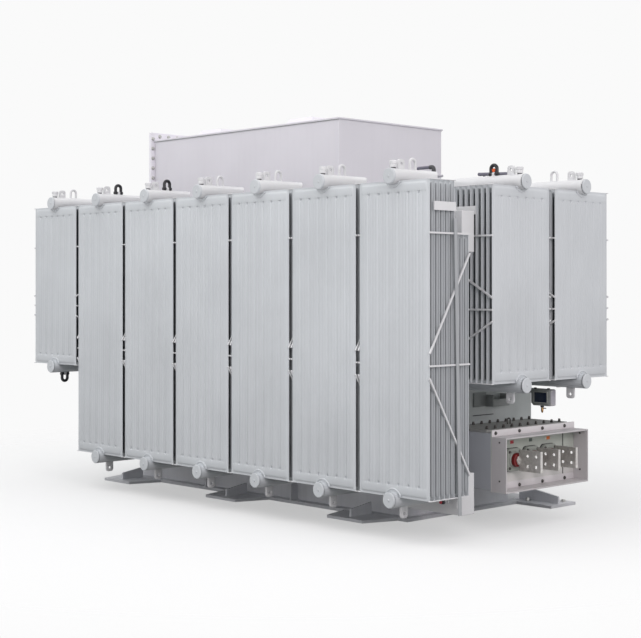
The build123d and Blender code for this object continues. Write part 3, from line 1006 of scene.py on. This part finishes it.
def cover_hardware():
    """Cable conduit with an elbow and a valve bar, both on posts from the tank's cover."""
    x, y, z = tank_wall - 0.23115, -0.292, cover_top + 0.215
    elbow_x, elbow_start = x + 0.145, x + 0.115
    bar_x, post_top = x + 0.181, z - 0.015
    run = [(x, y, cover_top), (x, y, z), (elbow_start, y, z)]
    elbow = [(elbow_start, y, z), (elbow_x, y, z), (elbow_x, y, z - 0.04)]
    tail = [(elbow_x, y, z - 0.015), (elbow_x, y, z - 0.058), (elbow_x + 0.07, y, z - 0.058)]
    bar = [(bar_x, 0.089, z - 0.025), (bar_x, 0.385, z - 0.003)]
    post_foot = [(0.02, 0), (0.02, 0.006), (0.009, 0.012)]
    mesh = Mesh(conduit_grey, gasket, gauge_light)
    mesh.add(sweep(rounded_path(run, 0.03), 0.01))
    mesh.add(sweep(rounded_path(elbow, 0.016), 0.013), gasket)
    mesh.add(sweep(rounded_path(tail, 0.02), 0.008, 12), gauge_light)
    mesh.add(sweep(bar, 0.011, 14))
    for post_y in (0.14, 0.34):
        mesh.add(sweep([(bar_x, post_y, cover_top), (bar_x, post_y, post_top)], 0.008, 12))
        mesh.add(lathe(post_foot, 18), place=moved(bar_x, post_y, cover_top))
    return mesh.data("cover_hardware")


piece("tank_wall_bracket", wall_bracket())
piece("base_valve_and_earth", base_hardware())
piece("cover_conduit_and_bar", cover_hardware())


# Enclosure on the cover

shell_low, shell_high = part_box("top_enclosure")


def flange_bolts():
    """Bolts round the margin of the end flange, with a nut on the inner side of each."""
    low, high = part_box("top_end_flange")
    side_pitch, side_margin, side_drop = 0.071, 0.08, 0.045
    top_pitch, top_start, top_count, top_drop = 0.08, -0.44, 12, 0.026
    side = (high.y + shell_high.y) / 2
    spots = []
    for index in range(int((high.z - low.z - side_margin) / side_pitch) + 1):
        z = high.z - side_drop - index * side_pitch
        spots += [(-side, z), (side, z)]
    spots += [(top_start + index * top_pitch, high.z - top_drop) for index in range(top_count)]
    mesh = Mesh(zinc)
    for y, z in spots:
        bolt(mesh, (1, 0, 0), (high.x, y, z), 0.019, 0.012)
        bolt(mesh, (-1, 0, 0), (low.x, y, z), 0.019, 0.01)
    return mesh.data("flange_bolts")


def lid_painted_shadow():
    """Thin grey strip between the long walls and the lid: painted shadow under the lid's edge."""
    low, high, reach = shell_high.z - 0.003, shell_high.z + 0.0005, 0.004
    mesh = Mesh(gauge_grey)
    for y in (shell_low.y - reach, shell_high.y):
        mesh.add(box((shell_low.x, y, low), (shell_high.x, y + reach, high), 0))
    return mesh.data("lid_painted_shadow")


piece("top_flange_bolts", flange_bolts())
piece("top_lid_painted_shadow", lid_painted_shadow())


# Finish of the nodes that stay: words in a node's name, its material and the width of its softened edges

finishes = [
    ("foot base_frame", base_paint, 0.002),
    ("tank_body tank_cover", tank_paint, 0.003),
    ("collector duct", header_paint, 0.003),
    ("rail", rail_paint_painted_shade, 0.0015),
    ("braces", header_paint, 0.001),
    ("top_end_flange top_hatches", flange_paint, 0.003),
    ("top_", enclosure_paint, 0.003),
    ("flag", tin, 0.001),
    ("lv_back_panel", green_paint, 0.001),
    ("lv_trunk_lid", lid_paint, 0.002),
    ("lv_trunk", trunk_paint, 0.003),
    ("lv_frame", terminal_paint, 0.0015),
]


def finish_node(obj, material, bevel):
    """New material and softened edges for a node that keeps its own shape."""
    obj.data.materials.clear()
    obj.data.materials.append(material)
    weld = obj.modifiers.new("weld", "WELD")
    weld.merge_threshold = 1e-5
    soften = obj.modifiers.new("soften", "BEVEL")
    soften.width = bevel
    soften.segments = 2
    soften.limit_method = "ANGLE"
    soften.angle_limit = math.radians(40)
    soften.harden_normals = True


for node, obj in cad_nodes.items():
    for words, material, bevel in finishes:
        if any(word in node for word in words.split()):
            finish_node(obj, material, bevel)
            break

flag_hole_radius = 0.0085
flag_hole_edge = 0.031
flag_hole_spacing = 0.06


def polish_holes(node):
    """Bright bare metal on the walls of the bolt holes through the flags."""
    obj = cad_nodes[node]
    obj.data.materials.append(bright_tin)
    low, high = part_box(node)
    middle = Vector((high.x - flag_hole_edge - flag_hole_spacing / 2, 0, (low.z + high.z) / 2))
    reach = flag_hole_spacing / 2 + 1.5 * flag_hole_radius
    for face in obj.data.polygons:
        spot = obj.matrix_world @ face.center - middle
        if abs(face.normal.y) < 0.5 and max(abs(spot.x), abs(spot.z)) < reach:
            face.material_index = 1


polish_holes("lv_flags")


# Camera, floor and light

camera_place = (7.0733, -6.63098, 1.37)
camera_turn = (90.23, 0, 46.24)
camera_lens = 78.64
camera_sensor = 36
camera_shift = (-0.0004, -0.0534)
sky_colour = (0.985, 0.99, 1, 1)
horizon_light, zenith_light = 0.6, 1.15
backdrop = (0.956, 0.956, 0.956, 1)
floor_reach = 16
floor_drop = 0.001
floor_lit, floor_seen = (0.2,) * 3, (0.46,) * 3
floor_glow = 0.45
floor_fade = (2.2, 5)

camera_data = bpy.data.cameras.new("camera")
camera_data.lens = camera_lens
camera_data.sensor_width = camera_sensor
camera_data.shift_x, camera_data.shift_y = camera_shift
camera = new_object("camera", camera_data)
camera.location = camera_place
camera.rotation_euler = [math.radians(angle) for angle in camera_turn]
scene.camera = camera
scene.view_settings.view_transform = "Standard"


def seen_directly(tree):
    """1 for rays that come from the eye, from a gloss or through glass."""
    path = add_node(tree, "LightPath")
    total = path.outputs["Is Camera Ray"]
    for name in ("Is Glossy Ray", "Is Transmission Ray"):
        larger = add_node(tree, "Math")
        larger.operation = "MAXIMUM"
        feed(larger.inputs[0], total)
        feed(larger.inputs[1], path.outputs[name])
        total = larger.outputs[0]
    return total


def mixed(factor, first, second, output):
    """Mixes two shader nodes into the output node of a material or the world."""
    mix = add_node(output.id_data, "MixShader", Fac=factor)
    feed(mix.inputs[1], first.outputs[0])
    feed(mix.inputs[2], second.outputs[0])
    set_inputs(output, Surface=mix.outputs["Shader"])


def sky():
    """Soft dome, brighter overhead; plain white where it is seen directly."""
    world = bpy.data.worlds.new("sky")
    world.use_nodes = True
    scene.world = world
    tree = world.node_tree
    light = tree.nodes["Background"]
    up = add_node(tree, "SeparateXYZ", Vector=add_node(tree, "TexCoord").outputs["Generated"])
    strength = ranged(up.outputs["Z"], horizon_light, zenith_light, start=0, end=1)
    set_inputs(light, Color=sky_colour, Strength=strength)
    white = add_node(tree, "Background", Color=backdrop)
    mixed(seen_directly(tree), light, white, tree.nodes["World Output"])


def lamp(name, place, target, size, power, colour=(1, 1, 1)):
    data = bpy.data.lights.new(name, "AREA")
    data.shape, data.size, data.energy, data.color = "DISK", size, power, colour
    obj = new_object(name, data)
    obj.location = place
    obj.rotation_euler = (Vector(target) - Vector(place)).to_track_quat("-Z", "Y").to_euler()


def floor():
    """Pale floor that fades into the white background and keeps a light shadow of the object."""
    material, tree, shader = new_material("floor")
    grey = blended(seen_directly(tree), floor_lit, floor_seen)
    glow = ranged(seen_directly(tree), 0, floor_glow, start=0, end=1)
    set_inputs(shader, Base_Color=grey, Roughness=0.9, Specular_IOR_Level=0,
               Emission_Color=(1, 1, 1, 1), Emission_Strength=glow)
    distance = add_node(tree, "VectorMath")
    distance.operation = "LENGTH"
    feed(distance.inputs[0], position(tree))
    clear = add_node(tree, "BsdfTransparent")
    fade = ranged(distance.outputs["Value"], 0, 1, *floor_fade)
    mixed(fade, shader, clear, tree.nodes["Material Output"])
    mesh = Mesh(material)
    corners = [(x * floor_reach, y * floor_reach, 0) for x, y in ((-1, -1), (1, -1), (1, 1), (-1, 1))]
    mesh.add((corners, [(0, 1, 2, 3)]))
    obj = new_object("floor", mesh.data("floor"))
    obj.location.z = -floor_drop


sky()
floor()
lamp("overhead", place=(-0.8, -5, 7.5), target=(-0.2, -0.3, 1), size=7, power=160)
lamp("low_front", place=(1, -9, 0.9), target=(0.3, -0.5, 0.2), size=3, power=38)
lamp("right", place=(9, -3.5, 4), target=(1.5, 0, 1.2), size=3, power=174, colour=(1, 0.925, 0.95))
